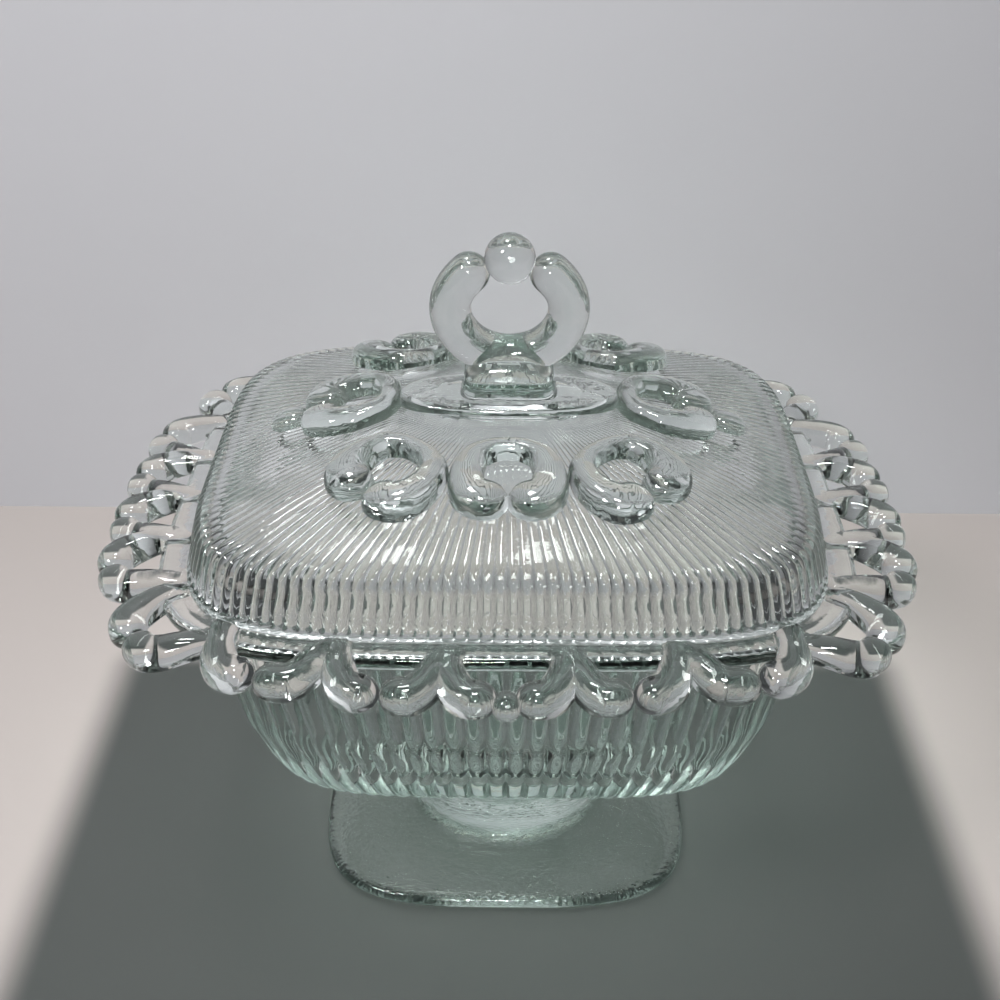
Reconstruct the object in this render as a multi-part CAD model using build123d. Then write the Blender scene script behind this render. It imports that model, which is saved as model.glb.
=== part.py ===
"""Covered candy dish in clear pressed glass: a footed bowl with a lace edge, and its lift-off lid.

Millimetres, +Z up, origin on the table under the middle of the foot.
+X runs along the long side and the front is -Y. Each piece is one pressing, so one solid.
"""
from build123d import *
import math
import os

# Foot
FOOT_HALF_X = 51.0
FOOT_HALF_Y = 48.5
FOOT_BOW = 4.5
FOOT_CORNER = 16.0
FOOT_EDGE = 3.2
FOOT_RISE = 3.6
FOOT_HOLLOW_DEPTH = 1.6
FOOT_HOLLOW_RADIUS = 30.0

# Stem between foot and bowl, a stepped round collar
STEM_COLLAR_RADIUS = 26.0
STEM_COLLAR_HEIGHT = 15.0
STEM_NECK_RADIUS = 21.5
STEM_TOP_RADIUS = 30.0
STEM_BLEND = 2.4

# Bowl body: outline half sizes of the mouth, height of each, and the reeded wall
BODY_BASE_Z = 38.0
BODY_DEPTH = 58.5
BODY_MOUTH_HALF_X = 75.0
BODY_MOUTH_HALF_Y = 65.5
BODY_BASE_HALF_X = 58.5
BODY_BASE_HALF_Y = 47.5
BODY_HEEL_HALF_X = 64.0
BODY_HEEL_HALF_Y = 52.5
BODY_HEEL_HEIGHT = 7.0
BODY_BELLY_HEIGHT = 26.0
BODY_BELLY_BULGE = 1.4
BODY_BOW = 4.0
BODY_CORNER = 18.0
BODY_WALL = 4.6
BODY_FLOOR = 5.5
REED_COUNT = 120
REED_DEPTH = 0.75

# Flange round the mouth, with the ledge that the lid stands in
FLANGE_HALF_X = 85.5
FLANGE_HALF_Y = 76.0
FLANGE_BOW = 5.0
FLANGE_CORNER = 26.0
FLANGE_THICKNESS = 4.0
SEAT_DEPTH = 1.2
SEAT_CLEARANCE = 0.7

# Lace edge: cleft rings that stand outwards from the flange
LACE_RING_RADIUS = 8.2
LACE_RING_HALF_WIDTH = 3.5
LACE_RING_HALF_HEIGHT = 4.1
LACE_ROUNDING = 1.5
LACE_CLEFT_WIDTH = 3.2
LACE_MIDDLE_GROWTH = 1.4
LACE_BALL_RADIUS = 3.3
LACE_DROP = 0.8

# Tip of each ring in one quarter of the lace edge, and the way it points, in degrees from -Y
LACE_SIDE_PITCH = 28.0
LACE_END_PITCH = 23.6
LACE_MIDDLE_TIP = (0.0, FLANGE_HALF_Y + 14.3, 0.0)
LACE_QUARTER_TIPS = [
    (LACE_SIDE_PITCH, FLANGE_HALF_Y + 12.6, 7.0),
    (FLANGE_HALF_X - 29.0, FLANGE_HALF_Y + 7.0, 16.0),
    (FLANGE_HALF_X + 5.5, FLANGE_HALF_Y - 8.0, 47.0),
    (FLANGE_HALF_X + 14.1, FLANGE_HALF_Y - 41.0, 76.0),
    (FLANGE_HALF_X + 16.9, LACE_END_PITCH / 2, 86.0),
]

# Share of a lobe's width that rounds each corner of its tip
TIP_ROUNDING = 0.36

# Lid
LID_HALF_X = 78.2
LID_HALF_Y = 68.5
LID_BOW = 4.0
LID_CORNER = 20.0
LID_WALL = 4.2
LID_LIP_HEIGHT = 2.6
LID_SKIRT_HEIGHT = 14.5
LID_SKIRT_INSET = 5.4
LID_DOME_HEIGHT = 12.5
LID_CROWN_HALF_X = 26.0
LID_CROWN_HALF_Y = 18.0
LID_FLUTE_COUNT = 120
LID_FLUTE_DEPTH = 0.8
LID_LIP_PROUD = 0.6

# Relief on the lid: eight cleft rings round the crown and a button at each end
RELIEF_OUTER_RADIUS = 13.0
RELIEF_HOLE_RADIUS = 6.2
RELIEF_HEIGHT = 3.8
RELIEF_ROOT = 2.4
RELIEF_ROUNDING = 1.6
RELIEF_SIDE_Y = 36.5
RELIEF_END_X = 39.5
RELIEF_CORNER_X = 27.8
RELIEF_CORNER_Y = 35.0
RELIEF_CLEFT_WIDTH = 3.6
BUTTON_X = 55.0
BUTTON_RADIUS = 5.2
BUTTON_HEIGHT = 3.0

# Finial: platform, neck, open ring and the ball in its cleft
PLATFORM_HALF_X = 28.0
PLATFORM_HALF_Y = 12.0
PLATFORM_HEIGHT = 3.2
NECK_HALF_X = 11.6
NECK_HALF_Y = 7.2
NECK_HEIGHT = 11.5
FINIAL_RING_HALF_X = 14.6
FINIAL_RING_HALF_Z = 12.4
FINIAL_TUBE_RADIUS = 5.1
FINIAL_CLEFT_ANGLE = 34.0
FINIAL_BALL_RADIUS = 6.3
FINIAL_BALL_LIFT = 0.4

FLANGE_TOP_Z = BODY_BASE_Z + BODY_DEPTH + FLANGE_THICKNESS
SEAT_Z = FLANGE_TOP_Z - SEAT_DEPTH
LACE_Z = FLANGE_TOP_Z - FLANGE_THICKNESS / 2 - LACE_DROP / 2
SHOULDER_Z = SEAT_Z + LID_LIP_HEIGHT + LID_SKIRT_HEIGHT
CROWN_Z = SHOULDER_Z + LID_DOME_HEIGHT


def bowed_outline(half_x, half_y, bow, corner, z=0.0):
    """Closed wire of a rounded rectangle whose four sides bow outwards, at height z."""
    cx, cy = half_x - bow, half_y - bow
    corners = [(-cx, -cy), (cx, -cy), (cx, cy), (-cx, cy)]
    crowns = [(0, -half_y), (half_x, 0), (0, half_y), (-half_x, 0)]
    sides = [ThreePointArc(corners[i], crowns[i], corners[(i + 1) % 4]) for i in range(4)]
    face = make_face(Wire(sides))
    rounded = fillet(face.vertices(), corner)
    return Pos(0, 0, z) * rounded.face().outer_wire()


def reeded_outline(half_x, half_y, bow, corner, z, count, depth):
    """Face whose edge is a row of small arcs, bulging outwards along a bowed outline."""
    guide = bowed_outline(half_x - depth, half_y - depth, bow, corner, z)
    start = guide.param_at_point(Vector(0, -(half_y - depth), z))
    points = [guide.position_at((start + i / count) % 1.0) for i in range(count)]
    arcs = []
    for i, first in enumerate(points):
        second = points[(i + 1) % count]
        chord = second - first
        outward = Vector(chord.Y, -chord.X, 0).normalized()
        if outward.dot(Vector(first.X, first.Y, 0)) < 0:
            outward = outward * -1
        crest = (first + second) * 0.5 + outward * min(depth, chord.length / 3)
        arcs.append(ThreePointArc(first, crest, second))
    return make_face(Wire(arcs))


def plain_outline(half_x, half_y, bow, corner, z):
    """Face of a plain bowed outline at height z."""
    return make_face(bowed_outline(half_x, half_y, bow, corner, z))


def cleft_plate(outer_radius, hole_radius, cleft_width):
    """Sketch of a ring of two curved lobes that part at +Y, with rounded tips."""
    with BuildSketch() as outline:
        Circle(outer_radius)
        Circle(hole_radius, mode=Mode.SUBTRACT)
        with Locations((0, outer_radius)):
            Rectangle(cleft_width, 2 * outer_radius, mode=Mode.SUBTRACT)
        cleft_corners = outline.vertices().filter_by(lambda v: v.Y > 0 and abs(v.X) < cleft_width / 2 + 0.01)
        fillet(cleft_corners, (outer_radius - hole_radius) * TIP_ROUNDING)
    return outline.sketch


def lace_ring(growth=0.0):
    """One ring of the lace edge, softened above and below, with its cleft at +Y."""
    outline = cleft_plate(LACE_RING_RADIUS + growth + LACE_RING_HALF_WIDTH,
                          LACE_RING_RADIUS + growth - LACE_RING_HALF_WIDTH, LACE_CLEFT_WIDTH)
    ring = extrude(outline, LACE_RING_HALF_HEIGHT, both=True)
    ends = ring.edges().group_by(Axis.Z)
    ring = chamfer(ends[-1] + ends[0], LACE_ROUNDING)
    return Pos(0, -growth, 0) * ring


def middle_lace_ring():
    """The larger ring in the middle of each long side, with a ball in its cleft."""
    ball = Pos(0, LACE_RING_RADIUS, 0) * Rot(0, 90, 0) * Sphere(LACE_BALL_RADIUS)
    return lace_ring(LACE_MIDDLE_GROWTH) + ball


def relief_ring():
    """Flat ring with a cleft at +Y and softened top edges, rooted inside the dome's wall."""
    outline = cleft_plate(RELIEF_OUTER_RADIUS, RELIEF_HOLE_RADIUS, RELIEF_CLEFT_WIDTH)
    ring = Pos(0, 0, -RELIEF_ROOT) * extrude(outline, RELIEF_HEIGHT + RELIEF_ROOT)
    return chamfer(ring.edges().group_by(Axis.Z)[-1], RELIEF_ROUNDING)


def relief_button():
    """Round button with a softened top edge, rooted inside the dome's wall."""
    button = Pos(0, 0, -RELIEF_ROOT) * extrude(Circle(BUTTON_RADIUS), BUTTON_HEIGHT + RELIEF_ROOT)
    return chamfer(button.edges().group_by(Axis.Z)[-1], RELIEF_ROUNDING)


def lace_places():
    """Place and turn of each ring of the lace edge, with a mark for the middle ones."""
    reach = LACE_RING_RADIUS + LACE_RING_HALF_WIDTH
    places = []
    for x, y, lean in [LACE_MIDDLE_TIP] + LACE_QUARTER_TIPS:
        is_middle = x == 0
        for side_x in (-1, 1)[:1 if is_middle else 2]:
            for side_y in (-1, 1):
                outward = Vector(side_x * math.sin(math.radians(lean)), side_y * math.cos(math.radians(lean)), 0)
                point = Vector(side_x * x, side_y * y, LACE_Z) - outward * reach
                turn = math.degrees(math.atan2(outward.Y, outward.X)) - 90
                places.append((point, turn, is_middle))
    return places


def body_sections(inset=0.0):
    """Half sizes and height of the bowl's wall at four levels, from its base to its mouth."""
    belly_share = BODY_BELLY_HEIGHT / BODY_DEPTH
    belly_x = BODY_HEEL_HALF_X + (BODY_MOUTH_HALF_X - BODY_HEEL_HALF_X) * belly_share + BODY_BELLY_BULGE
    belly_y = BODY_HEEL_HALF_Y + (BODY_MOUTH_HALF_Y - BODY_HEEL_HALF_Y) * belly_share + BODY_BELLY_BULGE
    return [
        (BODY_BASE_HALF_X - inset, BODY_BASE_HALF_Y - inset, BODY_BASE_Z),
        (BODY_HEEL_HALF_X - inset, BODY_HEEL_HALF_Y - inset, BODY_BASE_Z + BODY_HEEL_HEIGHT),
        (belly_x - inset, belly_y - inset, BODY_BASE_Z + BODY_BELLY_HEIGHT),
        (BODY_MOUTH_HALF_X - inset, BODY_MOUTH_HALF_Y - inset, BODY_BASE_Z + BODY_DEPTH),
    ]


def make_foot_and_stem():
    """Bowed square foot with a shallow hollow below, and the round stem on it."""
    slab = extrude(plain_outline(FOOT_HALF_X, FOOT_HALF_Y, FOOT_BOW, FOOT_CORNER, 0), FOOT_EDGE)
    inner = 1 - FOOT_RISE / FOOT_HALF_Y * 3
    mound = loft([
        plain_outline(FOOT_HALF_X, FOOT_HALF_Y, FOOT_BOW, FOOT_CORNER, FOOT_EDGE).face(),
        plain_outline(FOOT_HALF_X * inner, FOOT_HALF_Y * inner, FOOT_BOW, FOOT_CORNER, FOOT_EDGE + FOOT_RISE).face(),
    ])
    collar_top = FOOT_EDGE + FOOT_RISE + STEM_COLLAR_HEIGHT
    with BuildSketch(Plane.XZ) as profile:
        with BuildLine():
            Polyline(
                (0, FOOT_EDGE),
                (STEM_COLLAR_RADIUS, FOOT_EDGE),
                (STEM_COLLAR_RADIUS, collar_top - STEM_BLEND),
                (STEM_COLLAR_RADIUS - STEM_BLEND, collar_top),
                (STEM_NECK_RADIUS, collar_top + STEM_BLEND),
                (STEM_NECK_RADIUS, BODY_BASE_Z - STEM_BLEND * 2),
                (STEM_TOP_RADIUS, BODY_BASE_Z),
                (STEM_TOP_RADIUS, BODY_BASE_Z + BODY_FLOOR / 2),
                (0, BODY_BASE_Z + BODY_FLOOR / 2),
                close=True,
            )
        make_face()
    stem = revolve(profile.sketch, Axis.Z, 360)
    hollow = Cylinder(FOOT_HOLLOW_RADIUS, FOOT_HOLLOW_DEPTH * 2)
    return slab + mound + stem - hollow


def make_footed_bowl():
    """Foot, stem, reeded body, flange and lace edge, fused as the one pressing that they are."""
    shell = loft(
        [reeded_outline(hx, hy, BODY_BOW, BODY_CORNER, z, REED_COUNT, REED_DEPTH)
         for hx, hy, z in body_sections()],
        ruled=True,
    )
    flange_z = BODY_BASE_Z + BODY_DEPTH
    flange = extrude(plain_outline(FLANGE_HALF_X, FLANGE_HALF_Y, FLANGE_BOW, FLANGE_CORNER, flange_z),
                     FLANGE_THICKNESS)
    seat = extrude(
        plain_outline(LID_HALF_X + SEAT_CLEARANCE, LID_HALF_Y + SEAT_CLEARANCE, LID_BOW,
                      LID_CORNER + SEAT_CLEARANCE, SEAT_Z),
        SEAT_DEPTH + LACE_RING_HALF_HEIGHT,
    )
    sections = body_sections(BODY_WALL)[1:]
    floor_x, floor_y, floor_z = sections[0]
    mouth_x, mouth_y, mouth_z = sections[-1]
    inner_corner = BODY_CORNER - BODY_WALL
    levels = [(floor_x - BODY_HEEL_HEIGHT / 2, floor_y - BODY_HEEL_HEIGHT / 2, BODY_BASE_Z + BODY_FLOOR)]
    levels += [(hx, hy, z + BODY_FLOOR / 2) for hx, hy, z in sections[:-1]]
    levels += [(mouth_x, mouth_y, mouth_z + FLANGE_THICKNESS)]
    cavity = loft([plain_outline(hx, hy, BODY_BOW, inner_corner, z) for hx, hy, z in levels], ruled=True)
    plain_ring = lace_ring()
    middle_ring = middle_lace_ring()
    bowl = make_foot_and_stem() + shell + flange
    for point, angle, is_middle in lace_places():
        bowl += Pos(point) * Rot(0, 0, angle) * (middle_ring if is_middle else plain_ring)
    return bowl - seat - cavity


def lid_sections(inset=0.0):
    """Half sizes and height of the lid's surface, from its lip over the shoulder to the crown."""
    shoulder_x = LID_HALF_X - LID_SKIRT_INSET
    shoulder_y = LID_HALF_Y - LID_SKIRT_INSET
    lip_z = SEAT_Z + LID_LIP_HEIGHT
    levels = [(LID_HALF_X - LID_LIP_PROUD, LID_HALF_Y - LID_LIP_PROUD, lip_z)]
    levels.append((shoulder_x, shoulder_y, SHOULDER_Z - LID_WALL / 2))
    for share, rise in ((0.08, 0.16), (0.45, 0.5), (0.8, 0.8), (1.0, 1.0)):
        hx = shoulder_x + (LID_CROWN_HALF_X - shoulder_x) * share
        hy = shoulder_y + (LID_CROWN_HALF_Y - shoulder_y) * share
        levels.append((hx, hy, SHOULDER_Z + LID_DOME_HEIGHT * rise))
    return [(hx - inset, hy - inset, z - inset) for hx, hy, z in levels]


def dome_height(x, y):
    """Height of the lid's fluted surface above a point, from the sections of the lid."""
    sections = lid_sections()
    for low, high in zip(sections, sections[1:]):
        for step in range(101):
            share = step / 100
            hx = low[0] + (high[0] - low[0]) * share
            hy = low[1] + (high[1] - low[1]) * share
            if math.hypot(x / hx, y / hy) >= 1 or (abs(x / hx) ** 3.5 + abs(y / hy) ** 3.5) >= 1:
                return low[2] + (high[2] - low[2]) * share
    return CROWN_Z


def dome_place(x, y):
    """Location on the dome with its Z along the surface normal and its Y pointing outwards."""
    step = 4.0
    slope_x = (dome_height(x + step, y) - dome_height(x - step, y)) / (2 * step)
    slope_y = (dome_height(x, y + step) - dome_height(x, y - step)) / (2 * step)
    normal = Vector(-slope_x, -slope_y, 1).normalized()
    outward = Vector(x, y, 0)
    x_dir = outward.cross(normal)
    return Plane(origin=(x, y, dome_height(x, y)), x_dir=x_dir, z_dir=normal)


def corner_at(half_x, half_y):
    """Corner radius of a lid section, limited by the section's own size."""
    return min(LID_CORNER, (min(half_x, half_y) - LID_BOW) * 0.8)


def make_lid():
    """Fluted dome with its relief, platform, neck and ring finial, as one pressing."""
    sections = lid_sections()
    dome = loft(
        [reeded_outline(hx, hy, min(LID_BOW, hy / 6), corner_at(hx, hy), z, LID_FLUTE_COUNT, LID_FLUTE_DEPTH)
         for hx, hy, z in sections],
        ruled=True,
    )
    lip = extrude(plain_outline(LID_HALF_X, LID_HALF_Y, LID_BOW, LID_CORNER, SEAT_Z), LID_LIP_HEIGHT)
    inner = lid_sections(LID_WALL)
    cavity_levels = [(inner[0][0], inner[0][1], SEAT_Z)] + inner[1:]
    cavity = loft([plain_outline(hx, hy, min(LID_BOW, hy / 6), corner_at(hx, hy), z)
                   for hx, hy, z in cavity_levels], ruled=True)
    lid = dome + lip - cavity
    for x, y in relief_places():
        lid += dome_place(x, y) * relief_ring()
    for side in (-1, 1):
        lid += dome_place(side * BUTTON_X, 0) * relief_button()
    return lid + make_finial()


def relief_places():
    """Middles of the eight relief rings."""
    places = [(0, side * RELIEF_SIDE_Y) for side in (-1, 1)]
    places += [(side * RELIEF_END_X, 0) for side in (-1, 1)]
    places += [(sx * RELIEF_CORNER_X, sy * RELIEF_CORNER_Y) for sx in (-1, 1) for sy in (-1, 1)]
    return places


def make_finial():
    """Platform, neck, the upright open ring and the ball that closes its cleft."""
    platform = Pos(0, 0, CROWN_Z - PLATFORM_HEIGHT) * extrude(
        Ellipse(PLATFORM_HALF_X, PLATFORM_HALF_Y), PLATFORM_HEIGHT * 1.6)
    neck = Pos(0, 0, CROWN_Z - PLATFORM_HEIGHT) * extrude(
        RectangleRounded(2 * NECK_HALF_X, 2 * NECK_HALF_Y, NECK_HALF_Y * 0.6), NECK_HEIGHT)
    neck_top = CROWN_Z - PLATFORM_HEIGHT + NECK_HEIGHT
    ring_z = neck_top + FINIAL_RING_HALF_Z + FINIAL_TUBE_RADIUS * 0.55
    arc = Edge.make_ellipse(FINIAL_RING_HALF_X, FINIAL_RING_HALF_Z, Plane.XZ,
                            90 + FINIAL_CLEFT_ANGLE, 90 - FINIAL_CLEFT_ANGLE)
    path = Pos(0, 0, ring_z) * arc
    section = Plane(origin=path @ 0, z_dir=path % 0) * Circle(FINIAL_TUBE_RADIUS)
    ring = sweep(section, path)
    ends = [Pos(path @ at) * Sphere(FINIAL_TUBE_RADIUS) for at in (0, 1)]
    ball_z = ring_z + FINIAL_RING_HALF_Z + FINIAL_BALL_LIFT
    ball = Pos(0, 0, ball_z) * Sphere(FINIAL_BALL_RADIUS)
    return platform + neck + ring + ends[0] + ends[1] + ball


def main():
    """Write one STEP file for each piece."""
    os.makedirs("parts", exist_ok=True)
    for name, piece in (("footed_bowl", make_footed_bowl()), ("lid", make_lid())):
        solids = piece.solids()
        piece.label = name
        box = piece.bounding_box()
        print(name, "solids", len(solids), "volume", round(piece.volume), "box", box)
        export_step(piece, f"parts/{name}.step")


main()
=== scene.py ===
"""Looks of the covered candy dish: two pressings of clear glass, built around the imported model.

Metres, +Z up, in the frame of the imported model. The front of the dish is -Y.
"""
import logging
import math
from dataclasses import dataclass
from typing import Any, Optional, Sequence, Union

import bpy
import numpy as np
from mathutils import Matrix, Vector

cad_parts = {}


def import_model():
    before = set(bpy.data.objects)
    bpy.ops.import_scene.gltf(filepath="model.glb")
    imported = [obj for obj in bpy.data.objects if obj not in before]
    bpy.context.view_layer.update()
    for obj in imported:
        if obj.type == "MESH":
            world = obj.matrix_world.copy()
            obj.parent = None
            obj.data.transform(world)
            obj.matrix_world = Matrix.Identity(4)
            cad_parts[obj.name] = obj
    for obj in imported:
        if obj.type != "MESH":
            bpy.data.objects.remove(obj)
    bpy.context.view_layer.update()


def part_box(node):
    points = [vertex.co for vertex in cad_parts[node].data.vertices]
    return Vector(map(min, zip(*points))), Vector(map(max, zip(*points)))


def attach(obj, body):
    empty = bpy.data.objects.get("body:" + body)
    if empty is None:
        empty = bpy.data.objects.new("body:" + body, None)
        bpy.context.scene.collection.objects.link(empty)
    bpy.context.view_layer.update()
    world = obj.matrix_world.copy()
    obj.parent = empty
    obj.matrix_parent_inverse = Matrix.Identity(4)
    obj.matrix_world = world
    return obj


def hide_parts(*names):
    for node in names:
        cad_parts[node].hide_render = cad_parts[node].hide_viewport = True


LOG = logging.getLogger("candy_dish")
MM = 0.001
# The smallest half size of an outline, in millimetres.
SMALLEST = 0.05
# Edges of the glass that turn by more than this stay sharp, in degrees.
CREASE_ANGLE = 50.0

Term = Union["Value", float]
Color = tuple[float, float, float, float]
# A stop on a rod's way is x, y, z, half width and half height.
Stop = tuple[float, float, float, float, float]
Faces = list[tuple[int, ...]]


# Shader expressions


class Value:
    """A socket that carries a number, with arithmetic that adds Math nodes."""

    def __init__(self, shader: "Shader", socket: bpy.types.NodeSocket) -> None:
        """Keep the shader and the socket.

        Args:
            shader: The material's node builder.
            socket: The output socket that holds the number.
        """
        self.shader = shader
        self.socket = socket

    def _math(self, operation: str, first: Term, second: Term) -> "Value":
        """Add one Math node.

        Args:
            operation: The Math node's operation.
            first: Its first input, a Value or a number.
            second: Its second input, a Value or a number.

        Returns:
            The node's result.
        """
        return self.shader.node("ShaderNodeMath", {"operation": operation}, {0: first, 1: second})

    def __add__(self, other: Term) -> "Value":
        """Sum."""
        return self._math("ADD", self, other)

    __radd__ = __add__

    def __sub__(self, other: Term) -> "Value":
        """Difference."""
        return self._math("SUBTRACT", self, other)

    def __rsub__(self, other: Term) -> "Value":
        """Reflected difference."""
        return self._math("SUBTRACT", other, self)

    def __mul__(self, other: Term) -> "Value":
        """Product."""
        return self._math("MULTIPLY", self, other)

    __rmul__ = __mul__

    def ramp(self, low: float, high: float) -> "Value":
        """Smooth step.

        Args:
            low: The value that gives 0.
            high: The value that gives 1.

        Returns:
            A value from 0 to 1.
        """
        settings = {"interpolation_type": "SMOOTHSTEP"}
        inputs = {"Value": self, "From Min": low, "From Max": high}
        return self.shader.node("ShaderNodeMapRange", settings, inputs)


class Shader:
    """A material, and the methods that add nodes to it."""

    def __init__(self, name: str) -> None:
        """Make an empty node material.

        Args:
            name: The material's name.
        """
        self.material = bpy.data.materials.new(name)
        self.material.use_nodes = True
        self.tree = self.material.node_tree
        self.tree.nodes.clear()

    def node(self, kind: str, settings: dict[str, Any], inputs: dict[Any, Any], output: Any = 0) -> Value:
        """Add a node of any type.

        Args:
            kind: The node's type name.
            settings: Attributes that are set first.
            inputs: Values or links by socket name or number.
            output: The socket to return, by name or number.

        Returns:
            The chosen output.
        """
        made = self.tree.nodes.new(kind)
        for key, setting in settings.items():
            setattr(made, key, setting)
        for key, given in inputs.items():
            if isinstance(given, Value):
                self.tree.links.new(given.socket, made.inputs[key])
            else:
                made.inputs[key].default_value = given
        return Value(self, made.outputs[output]) if len(made.outputs) else Value(self, made.inputs[0])

    def noise(self, place: Value, scale: float, detail: float = 2.0) -> Value:
        """Noise texture.

        Args:
            place: The coordinates.
            scale: Features per metre.
            detail: Octaves.

        Returns:
            The noise's factor, about 0.5 in the middle.
        """
        return self.node("ShaderNodeTexNoise", {}, {"Vector": place, "Scale": scale, "Detail": detail})

    def mix(self, share: Value, first: Union[Value, Color], second: Color) -> Value:
        """Mix two colours.

        Args:
            share: How much of the second colour there is, from 0 to 1.
            first: The first colour.
            second: The second colour.

        Returns:
            The mixed colour.
        """
        inputs = {"Factor": share, "A": first, "B": second}
        return self.node("ShaderNodeMix", {"data_type": "RGBA"}, inputs, 2)

    def axis(self, vector: Value, name: str) -> Value:
        """One component of a vector.

        Args:
            vector: The vector.
            name: X, Y or Z.

        Returns:
            The component.
        """
        return self.node("ShaderNodeSeparateXYZ", {}, {"Vector": vector}, name)


@dataclass(frozen=True)
class PressedGlass:
    """Clear soda-lime glass with the waviness that a press mould leaves.

    Heights are in metres and scales in features per metre. The stipple is on the foot,
    below stipple_top and where the surface faces up by more than facing_low to facing_high.
    Duller smears are smear_width waves wide.
    """

    name: str = "pressed_glass"
    ior: float = 1.52
    surface_tint: Color = (0.915, 0.925, 0.92, 1.0)
    tint: Color = (0.62, 0.86, 0.76, 1.0)
    absorption: float = 10.0
    shadow_tint: Color = (0.80, 0.82, 0.81, 1.0)
    roughness: float = 0.008
    stipple_roughness: float = 0.03
    wave_scale: float = 55.0
    wave_height: float = 0.00024
    ripple_scale: float = 330.0
    ripple_height: float = 0.00006
    stipple_scale: float = 900.0
    stipple_height: float = 0.00016
    stipple_top: float = 0.0085
    stipple_fade: float = 0.0012
    facing_low: float = 0.3
    facing_high: float = 0.8
    smear_width: float = 3.0
    smear_low: float = 0.45
    smear_high: float = 0.75

    def material(self) -> bpy.types.Material:
        """Build the node material.

        Returns:
            The material, with a faint green Volume Absorption.
        """
        shader = Shader(self.name)
        place = shader.node("ShaderNodeTexCoord", {}, {}, "Object")
        height = shader.axis(place, "Z")
        above_foot = height.ramp(self.stipple_top, self.stipple_top + self.stipple_fade)
        facing = shader.axis(shader.node("ShaderNodeNewGeometry", {}, {}, "Normal"), "Z")
        on_foot = (1.0 - above_foot) * facing.ramp(self.facing_low, self.facing_high)
        wave = shader.noise(place, self.wave_scale) * self.wave_height
        ripple = shader.noise(place, self.ripple_scale) * self.ripple_height
        stipple = shader.noise(place, self.stipple_scale, 1.0) * on_foot * self.stipple_height
        bump = shader.node(
            "ShaderNodeBump", {}, {"Height": wave + ripple + stipple, "Distance": 1.0, "Strength": 1.0}
        )
        smear = shader.noise(place, self.wave_scale / self.smear_width)
        smear = smear.ramp(self.smear_low, self.smear_high)
        rough = smear * self.roughness + on_foot * self.stipple_roughness
        surface = shader.node(
            "ShaderNodeBsdfPrincipled",
            {},
            {
                "Base Color": self.surface_tint,
                "Transmission Weight": 1.0,
                "IOR": self.ior,
                "Roughness": rough,
                "Normal": bump,
            },
        )
        passing = shader.node("ShaderNodeBsdfTransparent", {}, {"Color": self.shadow_tint})
        is_shadow = shader.node("ShaderNodeLightPath", {}, {}, "Is Shadow Ray")
        surface = shader.node("ShaderNodeMixShader", {}, {0: is_shadow, 1: surface, 2: passing})
        volume = shader.node(
            "ShaderNodeVolumeAbsorption", {}, {"Color": self.tint, "Density": self.absorption}
        )
        shader.node("ShaderNodeOutputMaterial", {}, {"Surface": surface, "Volume": volume})
        return shader.material


@dataclass(frozen=True)
class StageFinish:
    """Matt paint of the floor and the backdrop.

    A finish with a dark zone colour is darker, with soft edges, around the foot, out to its half width
    to each side and as far back as its back limit: painted shade under the dish, on the tone of a dark
    glass plate there.
    """

    name: str
    color: Color
    roughness: float = 0.6
    mottle: float = 0.02
    mottle_scale: float = 6.0
    # Painted shade: colour and extent of a darker zone under the dish, on the tone of a dark glass plate
    # there.
    plate_and_shade: Optional[Color] = None
    plate_and_shade_half_width: float = 0.118
    plate_and_shade_back: float = 0.062
    plate_and_shade_fade: float = 0.016

    def material(self) -> bpy.types.Material:
        """Build the node material.

        Returns:
            The material.
        """
        shader = Shader(self.name)
        place = shader.node("ShaderNodeTexCoord", {}, {}, "Object")
        cloud = shader.noise(place, self.mottle_scale, 3.0)
        darker = tuple(channel * (1 - self.mottle * 2) for channel in self.color[:3]) + (1.0,)
        paint = shader.mix(cloud, self.color, darker)
        # Painted shade: the floor darkens in a soft-edged zone under the dish, on the tone of a dark glass
        # plate there.
        if self.plate_and_shade is not None:
            width, depth = shader.axis(place, "X"), shader.axis(place, "Y")
            sideways = shader.node("ShaderNodeMath", {"operation": "ABSOLUTE"}, {0: width})
            inside = 1.0 - sideways.ramp(self.plate_and_shade_half_width, self.plate_and_shade_half_width + self.plate_and_shade_fade)
            before = 1.0 - depth.ramp(self.plate_and_shade_back, self.plate_and_shade_back + self.plate_and_shade_fade)
            paint = shader.mix(inside * before, paint, self.plate_and_shade)
        surface = shader.node(
            "ShaderNodeBsdfPrincipled", {}, {"Base Color": paint, "Roughness": self.roughness}
        )
        shader.node("ShaderNodeOutputMaterial", {}, {"Surface": surface})
        return shader.material


# Mesh building


@dataclass(frozen=True)
class Level:
    """One horizontal outline of a pressing, in millimetres.

    half_x and half_y are its half sizes, square its superellipse power (2 is round),
    and reed the depth of the flutes there.
    """

    half_x: float
    half_y: float
    square: float
    z: float
    reed: float = 0.0


def outline_points(half_x: float, half_y: float, square: float, count: int) -> np.ndarray:
    """Points at equal steps along a superellipse, anticlockwise from the front.

    Args:
        half_x: Half size along X.
        half_y: Half size along Y.
        square: The power, 2 for an ellipse.
        count: How many points.

    Returns:
        An array of count rows of x and y.
    """
    dense = 24 * 180
    turn = np.linspace(-math.pi / 2, 1.5 * math.pi, dense + 1)
    cosine, sine = np.cos(turn), np.sin(turn)
    x = half_x * np.sign(cosine) * np.abs(cosine) ** (2 / square)
    y = half_y * np.sign(sine) * np.abs(sine) ** (2 / square)
    run = np.concatenate([[0.0], np.cumsum(np.hypot(np.diff(x), np.diff(y)))])
    wanted = np.linspace(0.0, run[-1], count, endpoint=False)
    return np.column_stack([np.interp(wanted, run, x), np.interp(wanted, run, y)])


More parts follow.
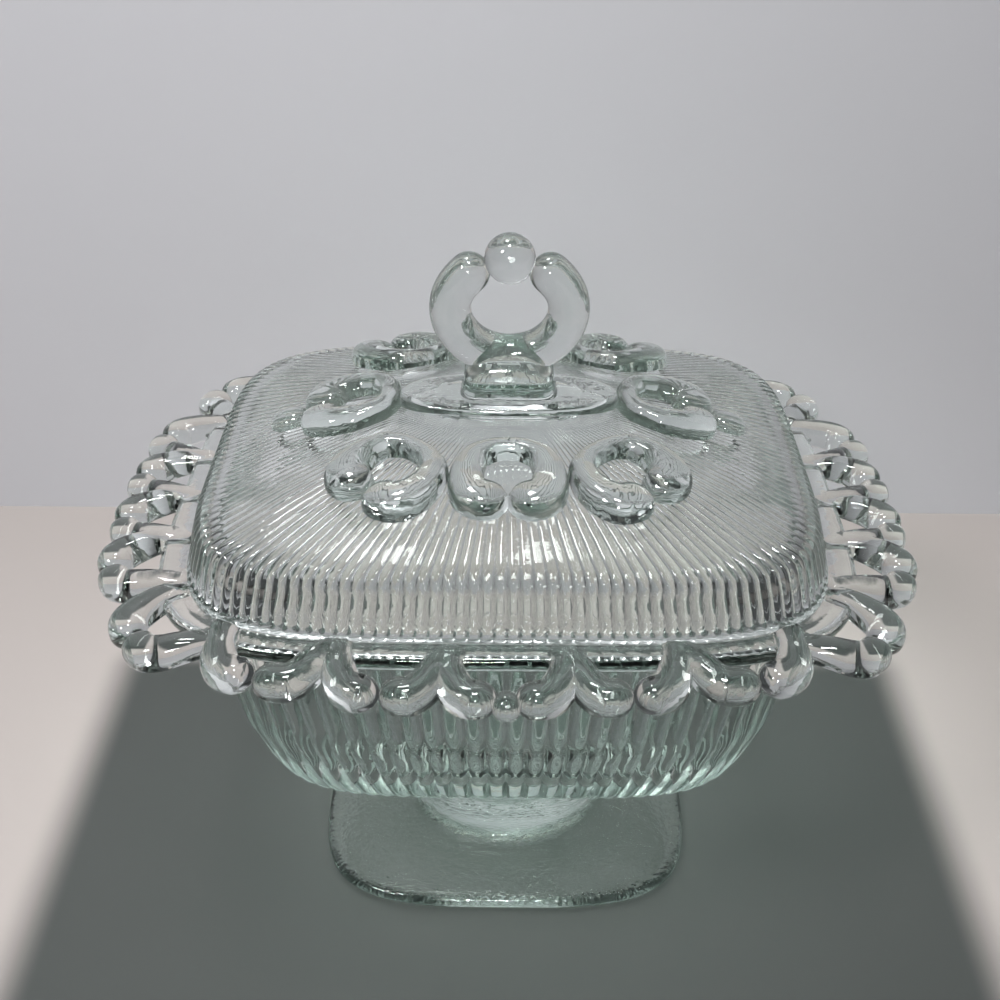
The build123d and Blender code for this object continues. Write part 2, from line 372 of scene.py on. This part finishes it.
def smooth_levels(levels: Sequence[Level], step: float, passes: int) -> np.ndarray:
    """Walk along the profile in small steps and round its corners.

    Args:
        levels: The profile's corners.
        step: The step along it, in millimetres.
        passes: How often each corner is softened.

    Returns:
        Rows of half_x, half_y, square, z and reed.
    """
    rows = np.array([[v.half_x, v.half_y, v.square, v.z, v.reed] for v in levels])
    return smooth_rows(rows, (0, 1, 3), step, passes)


def smooth_rows(rows: np.ndarray, places: Sequence[int], step: float, passes: int) -> np.ndarray:
    """Divide the way between rows into small steps and round the corners.

    Args:
        rows: The rows.
        places: The columns that are lengths along the way.
        step: The longest step, in millimetres.
        passes: How often each corner is softened.

    Returns:
        The finer rows, with the same first and last one.
    """
    fine = [rows[0]]
    for low, high in zip(rows, rows[1:]):
        parts = max(1, round(max(abs(high[k] - low[k]) for k in places) / step))
        fine += [low + (high - low) * (i + 1) / parts for i in range(parts)]
    table = np.array(fine)
    for _ in range(passes):
        table[1:-1] = (table[:-2] + 2 * table[1:-1] + table[2:]) / 4
    return table


@dataclass
class Pressing:
    """A closed shell whose profile is a list of levels, from one pole to the other."""

    name: str
    levels: Sequence[Level]
    reeds: int = 0
    points_per_reed: int = 8
    plain_points: int = 96
    step: float = 1.25
    passes: int = 2
    reed_crest: float = 0.72

    def build(self) -> bpy.types.Object:
        """Make the mesh.

        Returns:
            The object, closed by a fan at each pole.
        """
        count = self.reeds * self.points_per_reed if self.reeds else self.plain_points
        phase = (np.arange(count) / self.points_per_reed) % 1.0 if self.reeds else np.zeros(count)
        crest = np.abs(np.sin(math.pi * phase)) ** self.reed_crest
        rings = []
        for half_x, half_y, square, z, reed in smooth_levels(self.levels, self.step, self.passes):
            ring = outline_points(max(half_x, SMALLEST), max(half_y, SMALLEST), square, count)
            along = np.roll(ring, -1, axis=0) - np.roll(ring, 1, axis=0)
            outward = np.column_stack([along[:, 1], -along[:, 0]])
            outward /= np.linalg.norm(outward, axis=1)[:, None]
            ring = ring + outward * ((crest - 1.0) * reed)[:, None]
            rings.append(np.column_stack([ring, np.full(count, z)]))
        poles = [[0.0, 0.0, self.levels[0].z], [0.0, 0.0, self.levels[-1].z]]
        points = np.concatenate(rings + [np.array(poles)])
        faces = tube_faces(len(rings), count, len(points) - 2, len(points) - 1)
        return mesh_object(self.name, points * MM, faces)


def tube_faces(rings: int, count: int, first_pole: int, last_pole: int) -> Faces:
    """Quads between rings and a fan at each end.

    Args:
        rings: How many rings of points.
        count: Points in each ring.
        first_pole: The vertex that closes the first ring.
        last_pole: The vertex that closes the last ring.

    Returns:
        The faces, wound outwards.
    """
    faces: Faces = []
    for k in range(rings - 1):
        for i in range(count):
            j = (i + 1) % count
            faces.append((k * count + i, k * count + j, (k + 1) * count + j, (k + 1) * count + i))
    top = (rings - 1) * count
    for i in range(count):
        j = (i + 1) % count
        faces.append((first_pole, j, i))
        faces.append((last_pole, top + i, top + j))
    return faces


def mesh_object(name: str, points: np.ndarray, faces: Sequence[Sequence[int]]) -> bpy.types.Object:
    """Make an object from points and faces.

    Args:
        name: The object's name.
        points: Rows of x, y and z in metres.
        faces: Vertex numbers of each face.

    Returns:
        The object, linked to the scene.
    """
    mesh = bpy.data.meshes.new(name)
    mesh.from_pydata(points.tolist(), [], faces)
    mesh.validate()
    made = bpy.data.objects.new(name, mesh)
    bpy.context.scene.collection.objects.link(made)
    return made


@dataclass(frozen=True)
class Lobe:
    """A bent rod of glass with rounded ends, in millimetres, on the +X side.

    box is the superellipse power of its section, and cap_end what is left of it at its tips.
    """

    stops: tuple[Stop, ...]
    box: float = 2.2
    step: float = 0.7
    passes: int = 4
    around: int = 24
    cap: int = 6
    cap_end: float = 0.04

    def stations(self) -> list[tuple[np.ndarray, np.ndarray, float, float]]:
        """Middle, heading, half width and half height at each station, with the caps.

        Returns:
            The stations from one end to the other.
        """
        rows = smooth_rows(np.array(self.stops), (0, 1, 2), self.step, self.passes)
        ahead = np.gradient(rows[:, :2], axis=0)
        ahead /= np.linalg.norm(ahead, axis=1)[:, None]
        found = [(row[:3], way, row[3], row[4]) for row, way in zip(rows, ahead)]
        bends = [k / self.cap * math.pi / 2 for k in range(1, self.cap + 1)]
        start, end = [], []
        for bend in bends:
            for kept, station, sign in ((start, found[0], -1.0), (end, found[-1], 1.0)):
                middle, way, width, height = station
                moved = middle + np.append(way, 0.0) * width * math.sin(bend) * sign
                shrink = max(math.cos(bend), self.cap_end)
                kept.append((moved, way, width * shrink, height * shrink))
        return start[::-1] + found + end

    def points(self, side: int) -> tuple[np.ndarray, Faces]:
        """Points and faces of the rod.

        Args:
            side: 1 for the lobe on +X and -1 for its mirror image.

        Returns:
            Points in millimetres, and the faces.
        """
        turn = np.linspace(0.0, 2 * math.pi, self.around, endpoint=False)
        across = np.sign(np.cos(turn)) * np.abs(np.cos(turn)) ** (2 / self.box)
        upward = np.sign(np.sin(turn)) * np.abs(np.sin(turn)) ** (2 / self.box)
        stations = self.stations()
        rings = []
        for middle, way, width, height in stations:
            outward = np.array([way[1], -way[0]])
            flat = middle[:2] + np.outer(across * width, outward)
            rings.append(np.column_stack([flat, middle[2] + upward * height]))
        points = np.concatenate(rings + [np.array([stations[0][0], stations[-1][0]])])
        faces = tube_faces(len(rings), self.around, len(points) - 2, len(points) - 1)
        if side < 0:
            return points * np.array([-1.0, 1.0, 1.0]), faces
        return points, [tuple(reversed(face)) for face in faces]


def arc_stops(
    half_x: float, half_y: float, start: float, end: float, radius: float, parts: int = 24
) -> tuple[Stop, ...]:
    """Stops along part of an ellipse, for a rod of one thickness.

    Args:
        half_x: Half size along X.
        half_y: Half size along Y.
        start: First angle in degrees.
        end: Last angle in degrees.
        radius: The rod's radius.
        parts: How many parts the arc is divided into.

    Returns:
        The stops.
    """
    turns = [math.radians(start + (end - start) * k / parts) for k in range(parts + 1)]
    return tuple((half_x * math.cos(a), half_y * math.sin(a), 0.0, radius, radius) for a in turns)


class PartList:
    """Closed meshes that don't touch each other, joined into one object."""

    def __init__(self, name: str) -> None:
        """Start an empty list.

        Args:
            name: The joined object's name.
        """
        self.name = name
        self.points: list[np.ndarray] = []
        self.faces: Faces = []
        self.total = 0

    def add(self, points: np.ndarray, faces: Sequence[Sequence[int]], place: Matrix) -> None:
        """Add one closed mesh.

        Args:
            points: Its points in millimetres.
            faces: Its faces.
            place: Where it goes, in millimetres.
        """
        turned = points @ np.array(place.to_3x3()).T + np.array(place.translation)
        self.points.append(turned)
        self.faces += [tuple(v + self.total for v in face) for face in faces]
        self.total += len(points)

    def build(self) -> bpy.types.Object:
        """Make the joined object.

        Returns:
            The object.
        """
        return mesh_object(self.name, np.concatenate(self.points) * MM, self.faces)


def ball_points(
    radius: float, squash: float = 1.0, rings: int = 18, around: int = 36
) -> tuple[np.ndarray, Faces]:
    """A ball as rings between two poles.

    Args:
        radius: Its radius.
        squash: Its height over its width.
        rings: Rings between the poles.
        around: Points in each ring.

    Returns:
        Points in millimetres, and the faces.
    """
    tilt = np.linspace(-math.pi / 2, math.pi / 2, rings + 2)[1:-1]
    turn = np.linspace(0.0, 2 * math.pi, around, endpoint=False)
    rows = [
        np.column_stack([
            radius * math.cos(t) * np.cos(turn), radius * math.cos(t) * np.sin(turn),
            np.full(around, radius * squash * math.sin(t)),
        ])
        for t in tilt
    ]
    poles = np.array([[0.0, 0.0, -radius * squash], [0.0, 0.0, radius * squash]])
    points = np.concatenate(rows + [poles])
    return points, tube_faces(rings, around, len(points) - 2, len(points) - 1)


def fuse(base: bpy.types.Object, others: Sequence[bpy.types.Object]) -> None:
    """Join closed meshes into one closed mesh with nothing left inside.

    Args:
        base: The object that keeps the result.
        others: The objects that are used up.
    """
    for other in others:
        modifier = base.modifiers.new("fuse", "BOOLEAN")
        modifier.operation = "UNION"
        modifier.solver = "MANIFOLD"
        modifier.object = other
        depsgraph = bpy.context.evaluated_depsgraph_get()
        result = bpy.data.meshes.new_from_object(base.evaluated_get(depsgraph))
        base.modifiers.clear()
        base.data = result
        bpy.data.objects.remove(other)


def finish_mesh(piece: bpy.types.Object) -> None:
    """Shade a fused mesh smooth, with its creases kept.

    Args:
        piece: The object.
    """
    mesh = piece.data
    mesh.polygons.foreach_set("use_smooth", np.ones(len(mesh.polygons), dtype=bool))
    mesh.set_sharp_from_angle(angle=math.radians(CREASE_ANGLE))
    mesh.update()


# The two pieces


@dataclass
class FootedBowl:
    """Foot, stem, reeded body, flange and lace edge, in millimetres.

    A quarter tip is x, y, the way it looks in degrees from the front, and how far its roots part.
    A name that ends in square is the superellipse power of an outline.
    """

    seat_z: float
    ledge: float = 1.2
    foot_x: float = 51.0
    foot_y: float = 48.5
    foot_square: float = 3.6
    stem: float = 26.4
    waist: float = 21.4
    body_base: float = 38.0
    mouth_x: float = 75.0
    mouth_y: float = 65.5
    body_square: float = 4.5
    flange_x: float = 85.5
    flange_y: float = 76.0
    flange_square: float = 4.1
    flange_thickness: float = 4.0
    lid_x: float = 78.9
    lid_y: float = 69.2
    lid_square: float = 4.6
    wall: float = 4.6
    floor_thickness: float = 5.5
    reeds: int = 96
    reed_points: int = 10
    reed_depth: float = 1.15
    ring_outer: float = 11.7
    root_width: float = 4.0
    lobe_width: float = 4.0
    tip_width: float = 4.5
    droop: float = 1.6
    usual_root: float = 13.4
    middle_root: float = 13.0
    middle_spread: float = 2.4
    middle_tip_y: float = 90.1
    quarter_tips: tuple[tuple[float, float, float, float], ...] = (
        (28.0, 88.6, 7.0, 13.4),
        (56.5, 83.0, 16.0, 14.2),
        (88.0, 66.4, 58.0, 12.8),
        (99.4, 36.0, 76.0, 12.0),
        (101.3, 12.0, 86.0, 11.6),
    )
    ball: float = 3.5
    ball_drop: float = 1.0

    @property
    def rim_z(self) -> float:
        """Height of the flange's top, a ledge above the lid's seat."""
        return self.seat_z + self.ledge

    def foot_levels(self) -> list[Level]:
        """The foot, from the hollow below it to where the stem stands on it.

        Returns:
            The levels.
        """
        x, y, square = self.foot_x, self.foot_y, self.foot_square
        return [
            Level(2, 2, 2, 1.6),
            Level(27, 27, 2, 1.6),
            Level(31, 31, 2, 0.0),
            Level(x - 1.4, y - 1.4, square, 0.0),
            Level(x, y, square, 1.2),
            Level(x, y, square, 2.8),
            Level(x - 1.6, y - 1.6, square, 3.8),
            Level(x - 9, y - 9, 3.3, 5.0),
            Level(30, 29, 2.3, 6.4),
        ]

    def stem_levels(self) -> list[Level]:
        """The stepped stem, up to the underside of the body.

        Returns:
            The levels.
        """
        stem, waist = self.stem, self.waist
        return [
            Level(stem - 0.2, stem - 0.2, 2, 8.2),
            Level(stem, stem, 2, 19.5),
            Level(24.4, 24.4, 2, 21.6),
            Level(waist, waist, 2, 23.6),
            Level(waist, waist, 2, 32.0),
            Level(25, 25, 2.0, 36.5),
            Level(30, 29, 2.1, self.body_base),
        ]

    def body_levels(self) -> list[Level]:
        """The reeded outside of the body.

        Returns:
            The levels.
        """
        base, reed, square = self.body_base, self.reed_depth, self.body_square
        under = self.rim_z - self.flange_thickness
        return [
            Level(58.0, 47.0, 4.6, base),
            Level(60.0, 48.8, 4.6, base + 0.6, reed),
            Level(61.2, 50.0, 4.6, base + 2.2, reed),
            Level(64.2, 52.8, square, base + 7.5, reed),
            Level(69.2, 58.4, square, base + 21, reed),
            Level(72.6, 62.4, square, base + 38, reed),
            Level(self.mouth_x - 0.4, self.mouth_y - 0.4, square, under - 3, reed),
            Level(self.mouth_x, self.mouth_y, square, under, 0.2),
        ]

    def flange_levels(self) -> list[Level]:
        """The flange, from its underside over its edge to the ledge for the lid.

        Returns:
            The levels.
        """
        x, y, square, rim = self.flange_x, self.flange_y, self.flange_square, self.rim_z
        under = rim - self.flange_thickness
        return [
            Level(x - 0.8, y - 0.8, square, under),
            Level(x, y, square, under + 0.8),
            Level(x, y, square, rim - 0.7),
            Level(x - 0.9, y - 0.9, square, rim),
            Level(self.lid_x + 0.6, self.lid_y + 0.6, self.lid_square, rim),
            Level(self.lid_x, self.lid_y, self.lid_square, self.seat_z),
        ]

    def inner_levels(self) -> list[Level]:
        """The inside of the body, down to the middle of its floor.

        Returns:
            The levels.
        """
        x, y, base = self.mouth_x - self.wall, self.mouth_y - self.wall, self.body_base
        floor = base + self.floor_thickness
        return [
            Level(x + 1.4, y + 1.4, self.body_square, self.seat_z),
            Level(x, y, self.body_square, self.seat_z - 1.6),
            Level(68.4, 58.2, 4.4, base + 40),
            Level(64.8, 54.2, 4.4, base + 25),
            Level(60.0, 49.0, 4.3, base + 12.5),
            Level(55, 44, 4.1, base + 6.4),
            Level(50, 39, 4.0, floor),
            Level(2, 2, 2, floor),
        ]

    def levels(self) -> list[Level]:
        """Profile from the middle of the foot's underside, up the outside and down the inside.

        Returns:
            The levels.
        """
        outside = self.foot_levels() + self.stem_levels() + self.body_levels()
        return outside + self.flange_levels() + self.inner_levels()

    def ring_places(self) -> list[tuple[Matrix, float, bool]]:
        """Where each ring of the lace edge goes, with +Y outwards.

        Returns:
            Matrices in millimetres, how far its roots part, and whether it is a middle ring.
        """
        height = self.rim_z - self.flange_thickness / 2
        tip, root = self.middle_tip_y, self.middle_root
        spots = [(0.0, side * tip, 90.0 + side * 90.0, root, True) for side in (-1, 1)]
        for x, y, lean, root in self.quarter_tips:
            spots += [(x, -y, lean, root, False), (-x, -y, -lean, root, False)]
            spots += [(x, y, 180 - lean, root, False), (-x, y, lean - 180, root, False)]
        places = []
        for x, y, lean, root, middle in spots:
            turn = math.radians(lean)
            outward = Vector((math.sin(turn), -math.cos(turn), 0.0))
            centre = Vector((x, y, height)) - outward * self.ring_outer
            place = Matrix.Translation(centre) @ Matrix.Rotation(turn + math.pi, 4, "Z")
            places.append((place, root, middle))
        return places

    def lobe(self, root: float, middle: bool) -> Lobe:
        """One comma-shaped half of a lace ring, low at its root and full at its tip.

        Args:
            root: How far its root stands off the ring's middle line.
            middle: Whether it belongs to the wider ring with the ball.

        Returns:
            The lobe.
        """
        share = root / self.usual_root
        fat = share ** 0.5
        wide, tip, low = self.lobe_width * fat, self.tip_width * fat, -self.droop
        spread = self.middle_spread if middle else 0.0
        end_y = self.ring_outer - tip
        return Lobe((
            (root - 1.0, -6.6, -0.3, self.root_width, 2.6),
            (11.4 * share + spread, -3.0, -0.1, wide, 3.1),
            (10.3 * share + spread, 0.6, low * 0.3, wide, 3.7),
            (9.2 * share + spread, 4.0, low * 0.7, (wide + tip) / 2, 4.0),
            (7.2 * share + spread, end_y - 0.4, low, tip, 4.2),
            (tip - 0.1 + spread * 0.8, end_y, low, tip, 4.1),
        ))

    def build(self) -> bpy.types.Object:
        """Build and fuse the bowl.

        Returns:
            The bowl as one closed mesh.
        """
        bowl = Pressing("footed_bowl_glass", self.levels(), self.reeds, self.reed_points).build()
        groups = []
        places = self.ring_places()
        for parity in (0, 1):
            for side in (1, -1):
                group = PartList(f"lace_{parity}_{side}")
                for place, root, middle in places[parity::2]:
                    points, faces = self.lobe(root, middle).points(side)
                    group.add(points, faces, place)
                groups.append(group.build())
        balls = PartList("lace_balls")
        in_cleft = Matrix.Translation((0, self.ring_outer - self.ball, -self.droop - self.ball_drop))
        for place, _, middle in places:
            if middle:
                points, faces = ball_points(self.ball)
                balls.add(points, faces, place @ in_cleft)
        groups.append(balls.build())
        fuse(bowl, groups)
        return bowl


@dataclass
class DishLid:
    """Fluted dome, relief, and the ring finial with its ball, in millimetres.

    side_y, end_x, corner_x and corner_y are the middles of the relief rings, and button_x
    those of the end buttons.
    """

    seat_z: float
    top_z: float
    half_x: float
    half_y: float
    lip_square: float = 4.7
    wall: float = 4.0
    flutes: int = 176
    flute_points: int = 7
    flute_depth: float = 0.9
    dome_rise: float = 29.6
    relief_stops: tuple[Stop, ...] = (
        (-1.5, -10.2, 0.0, 2.8, 3.7),
        (3.5, -10.0, 0.0, 2.9, 3.8),
        (8.0, -7.4, 0.0, 3.4, 4.1),
        (9.8, -2.2, 0.0, 4.0, 4.4),
        (9.6, 3.0, 0.0, 4.8, 4.7),
        (7.9, 6.8, 0.0, 5.5, 4.8),
        (5.4, 7.4, 0.0, 5.6, 4.6),
    )
    relief_square: float = 2.5
    side_y: float = 36.8
    end_x: float = 39.5
    corner_x: float = 27.8
    corner_y: float = 35.0
    button_x: float = 55.5
    button: float = 5.2
    button_squash: float = 0.7
    slope_reach: float = 5.0
    ring_x: float = 14.6
    ring_z: float = 12.4
    tube: float = 5.2
    arm_start: float = -96.0
    arm_end: float = 47.0
    ball: float = 6.3
    ball_rise: float = 0.4

    def outer_levels(self) -> list[Level]:
        """Profile of the outside, from the lip up to the crown.

        Returns:
            The levels.
        """
        x, y, z, depth = self.half_x, self.half_y, self.seat_z, self.flute_depth
        lip, crown = self.lip_square, z + self.dome_rise
        return [
            Level(x - 0.4, y - 0.4, lip, z),
            Level(x, y, lip, z + 0.5),
            Level(x, y, lip, z + 2.2),
            Level(x - 0.5, y - 0.5, lip, z + 2.5, depth * 1.5),
            Level(x - 1.3, y - 1.3, lip, z + 7.5, depth * 1.9),
            Level(x - 3.0, y - 3.0, lip, z + 14.2, depth * 2.0),
            Level(x - 5.0, y - 5.0, 4.6, z + 15.8, depth * 1.3),
            Level(x - 8.5, y - 8.2, 4.4, z + 17.2, depth * 1.1),
            Level(x - 21, y - 20, 4.0, z + 21.2, depth),
            Level(x - 34, y - 31.5, 3.5, z + 24.6, depth * 0.8),
            Level(x - 46, y - 43.5, 3.0, z + 27.4, depth * 0.6),
            Level(18, 13, 2.4, crown - 0.4),
            Level(2, 2, 2, crown),
        ]

    def levels(self) -> list[Level]:
        """Profile from the middle of the ceiling, down the inside and up the outside.

        Returns:
            The levels.
        """
        outer = self.outer_levels()
        # The inside follows the outside above the lip, whose own four levels have none.
        above_lip = outer[4:]
        inner = [
            Level(max(v.half_x - self.wall, 2), max(v.half_y - self.wall, 2), v.square, v.z - self.wall)
            for v in reversed(above_lip)
        ]
        x, y = self.half_x - self.wall, self.half_y - self.wall
        lip = Level(x, y, self.lip_square, self.seat_z + 2.0)
        edge = Level(x + 0.5, y + 0.5, self.lip_square, self.seat_z)
        return inner + [lip, edge] + outer

    def surface(self, x: float, y: float) -> float:
        """Height of the dome over a point.

        Args:
            x: Across the dish.
            y: Along its depth.

        Returns:
            The height in millimetres.
        """
        table = smooth_levels(self.outer_levels()[2:], step=1.0, passes=2)
        gauge = (abs(x) / table[:, 0]) ** table[:, 2] + (abs(y) / table[:, 1]) ** table[:, 2]
        return float(np.interp(1.0, gauge, table[:, 3]))

    def on_dome(self, x: float, y: float) -> Matrix:
        """Place on the dome with Z along its normal and +Y outwards.

        Args:
            x: Across the dish.
            y: Along its depth.

        Returns:
            The place in millimetres.
        """
        reach = self.slope_reach
        slope_x = (self.surface(x + reach, y) - self.surface(x - reach, y)) / (2 * reach)
        slope_y = (self.surface(x, y + reach) - self.surface(x, y - reach)) / (2 * reach)
        normal = Vector((-slope_x, -slope_y, 1)).normalized()
        right = Vector((x, y, 0)).cross(normal).normalized()
        ahead = normal.cross(right)
        turn = Matrix((right, ahead, normal)).transposed().to_4x4()
        return Matrix.Translation((x, y, self.surface(x, y))) @ turn

    def relief_places(self) -> list[Matrix]:
        """Places of the eight relief rings.

        Returns:
            Matrices in millimetres.
        """
        spots = [(0.0, s * self.side_y) for s in (-1, 1)] + [(s * self.end_x, 0.0) for s in (-1, 1)]
        spots += [(a * self.corner_x, b * self.corner_y) for a in (-1, 1) for b in (-1, 1)]
        return [self.on_dome(x, y) for x, y in spots]

    @property
    def crown_z(self) -> float:
        """Height of the middle of the dome."""
        return self.seat_z + self.dome_rise

    @property
    def ring_middle_z(self) -> float:
        """Height of the middle of the finial's ring."""
        return self.top_z - self.ball - self.ball_rise - self.ring_z

    def platform(self) -> bpy.types.Object:
        """The oval platform under the finial.

        Returns:
            A closed object to fuse.
        """
        crown = self.crown_z
        return Pressing("platform", [
            Level(2, 2, 2, crown - 5),
            Level(27, 10, 2.2, crown - 5),
            Level(28.5, 12, 2.4, crown - 1.0),
            Level(27.5, 11.2, 2.4, crown + 1.0),
            Level(14, 9.5, 2.6, crown + 1.6),
            Level(2, 2, 2, crown + 1.6),
        ]).build()

    def neck(self) -> bpy.types.Object:
        """The boxy neck between the platform and the ring.

        Returns:
            A closed object to fuse.
        """
        crown, ring = self.crown_z, self.ring_middle_z - self.ring_z
        return Pressing("neck", [
            Level(2, 2, 2, crown - 2),
            Level(13.0, 8.4, 3.6, crown - 2),
            Level(12.2, 7.6, 3.6, crown + 2.0),
            Level(11.4, 6.8, 3.6, crown + 4.0),
            Level(11.0, 6.4, 3.6, ring - 2.0),
            Level(8, 4, 3.0, ring + 1.0),
            Level(2, 2, 2, ring + 1.0),
        ]).build()

    def arms(self) -> list[bpy.types.Object]:
        """The ring's two arms, which leave a cleft at the top.

        Returns:
            Closed objects to fuse.
        """
        upright = Matrix.Translation((0, 0, self.ring_middle_z)) @ Matrix.Rotation(math.pi / 2, 4, "X")
        way = arc_stops(self.ring_x, self.ring_z, self.arm_start, self.arm_end, self.tube)
        arm = Lobe(way, box=2.0, step=0.8, passes=2, around=40, cap=9)
        made = []
        for side in (1, -1):
            group = PartList(f"arm_{side}")
            points, faces = arm.points(side)
            group.add(points, faces, upright)
            made.append(group.build())
        return made

    def knob(self) -> bpy.types.Object:
        """The ball that closes the cleft of the ring.

        Returns:
            A closed object to fuse.
        """
        knob = PartList("knob")
        points, faces = ball_points(self.ball, rings=30, around=60)
        knob.add(points, faces, Matrix.Translation((0, 0, self.top_z - self.ball)))
        return knob.build()

    def relief(self) -> list[bpy.types.Object]:
        """The relief rings, one object for each half of the rings.

        Returns:
            Closed objects to fuse.
        """
        lobe = Lobe(self.relief_stops, box=self.relief_square, around=28)
        made = []
        for side in (1, -1):
            group = PartList(f"relief_{side}")
            for place in self.relief_places():
                points, faces = lobe.points(side)
                group.add(points, faces, place)
            made.append(group.build())
        return made

    def buttons(self) -> bpy.types.Object:
        """The button at each end of the dome.

        Returns:
            A closed object to fuse.
        """
        buttons = PartList("buttons")
        for side in (-1, 1):
            points, faces = ball_points(self.button, self.button_squash)
            buttons.add(points, faces, self.on_dome(side * self.button_x, 0.0))
        return buttons.build()

    def build(self) -> bpy.types.Object:
        """Build and fuse the lid.

        Returns:
            The lid as one closed mesh.
        """
        lid = Pressing("lid_glass", self.levels(), self.flutes, self.flute_points, passes=1).build()
        finial = [self.platform(), self.neck()] + self.arms() + [self.knob()]
        fuse(lid, self.relief() + [self.buttons()] + finial)
        return lid


# Studio


@dataclass(frozen=True)
class SoftLamp:
    """One square soft lamp that looks at the dish, in metres and watts."""

    name: str
    place: tuple[float, float, float]
    size: float
    power: float
    aim: tuple[float, float, float] = (0.0, 0.0, 0.09)

    def build(self) -> None:
        """Make the lamp."""
        data = bpy.data.lights.new(self.name, "AREA")
        data.size = self.size
        data.energy = self.power
        made = bpy.data.objects.new(self.name, data)
        made.location = self.place
        look = Vector(self.aim) - Vector(self.place)
        made.rotation_euler = look.to_track_quat("-Z", "Y").to_euler()
        bpy.context.scene.collection.objects.link(made)


@dataclass
class Studio:
    """Pale floor and backdrop, soft lamps, and the camera at the photograph's angle, in metres."""

    floor_color: Color = (0.44, 0.40, 0.38, 1.0)
    # Painted shade under the dish, on the tone of a dark glass plate there.
    plate_and_shade_color: Color = (0.050, 0.056, 0.053, 1.0)
    wall_color: Color = (0.55, 0.55, 0.58, 1.0)
    world_color: Color = (0.80, 0.82, 0.86, 1.0)
    world_strength: float = 0.07
    wall_distance: float = 0.17
    floor_drop: float = 0.0002
    half_width: float = 3.0
    focal_px: float = 1545.0
    frame_px: float = 1000.0
    sensor_mm: float = 36.0
    pitch: float = 29.0
    roll: float = 0.46
    camera_place: tuple[float, float, float] = (0.0, -0.3545, 0.295)
    shift_px: float = 8.0
    near: float = 0.01
    lamps: tuple[SoftLamp, ...] = (
        SoftLamp("front_lamp", (-0.03, -0.372, 0.312), 0.05, 0.60),
        SoftLamp("key_lamp", (-0.50, -0.45, 0.80), 0.15, 5.4),
        SoftLamp("ceiling_lamp", (-0.02, -0.22, 1.10), 0.17, 4.4),
        SoftLamp("back_lamp", (-0.07, 0.09, 0.56), 0.08, 0.55),
    )
    glass_bounces: int = 28
    glossy_bounces: int = 8

    def build_stage(self) -> None:
        """Make the floor and the backdrop."""
        w, d, low = self.half_width, self.wall_distance, -self.floor_drop
        corners = np.array([[-w, -w, low], [w, -w, low], [w, d, low], [-w, d, low], [w, d, w], [-w, d, w]])
        floor = mesh_object("floor", corners[:4], [(0, 1, 2, 3)])
        # The floor carries painted shade in a zone under the dish.
        floor_paint_and_shade = StageFinish("floor_paint_and_shade", self.floor_color, plate_and_shade=self.plate_and_shade_color)
        floor.data.materials.append(floor_paint_and_shade.material())
        wall = mesh_object("backdrop", corners[[3, 2, 4, 5]], [(0, 1, 2, 3)])
        wall.data.materials.append(StageFinish("wall_paint", self.wall_color).material())

    def build_lamps(self) -> None:
        """Make the lamps and the world."""
        for lamp in self.lamps:
            lamp.build()
        world = bpy.data.worlds.new("studio_air")
        world.use_nodes = True
        sky = world.node_tree.nodes["Background"]
        sky.inputs["Color"].default_value = self.world_color
        sky.inputs["Strength"].default_value = self.world_strength
        bpy.context.scene.world = world

    def build_camera(self) -> None:
        """Make the camera and use it."""
        data = bpy.data.cameras.new("photo_camera")
        data.sensor_width = self.sensor_mm
        data.lens = self.focal_px / self.frame_px * self.sensor_mm
        data.shift_x = -self.shift_px / self.frame_px
        data.clip_start = self.near
        made = bpy.data.objects.new("photo_camera", data)
        tilt = Matrix.Rotation(math.radians(90 - self.pitch), 4, "X")
        roll = Matrix.Rotation(math.radians(self.roll), 4, "Z")
        made.matrix_world = Matrix.Translation(self.camera_place) @ tilt @ roll
        bpy.context.scene.collection.objects.link(made)
        bpy.context.scene.camera = made

    def build(self) -> None:
        """Make the whole studio."""
        self.build_camera()
        self.build_stage()
        self.build_lamps()
        scene = bpy.context.scene
        scene.view_settings.view_transform = "Standard"
        scene.cycles.max_bounces = self.glass_bounces
        scene.cycles.transmission_bounces = self.glass_bounces
        scene.cycles.glossy_bounces = self.glossy_bounces
        scene.cycles.caustics_refractive = True


def main() -> None:
    """Build the studio and both pieces, and report them."""
    logging.basicConfig(level=logging.INFO, format="%(name)s: %(message)s")
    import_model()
    lid_low, lid_high = (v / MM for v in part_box("lid"))
    Studio().build()
    glass = PressedGlass().material()
    bowl = FootedBowl(lid_low.z).build()
    lid = DishLid(lid_low.z, lid_high.z, lid_high.x, lid_high.y).build()
    for piece, body, node in ((bowl, "dish", "footed_bowl"), (lid, "lid", "lid")):
        piece.data.materials.clear()
        piece.data.materials.append(glass)
        finish_mesh(piece)
        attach(piece, body)
        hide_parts(node)
        LOG.info("%s: %d faces on body %s", piece.name, len(piece.data.polygons), body)


if __name__ == "__main__":
    main()
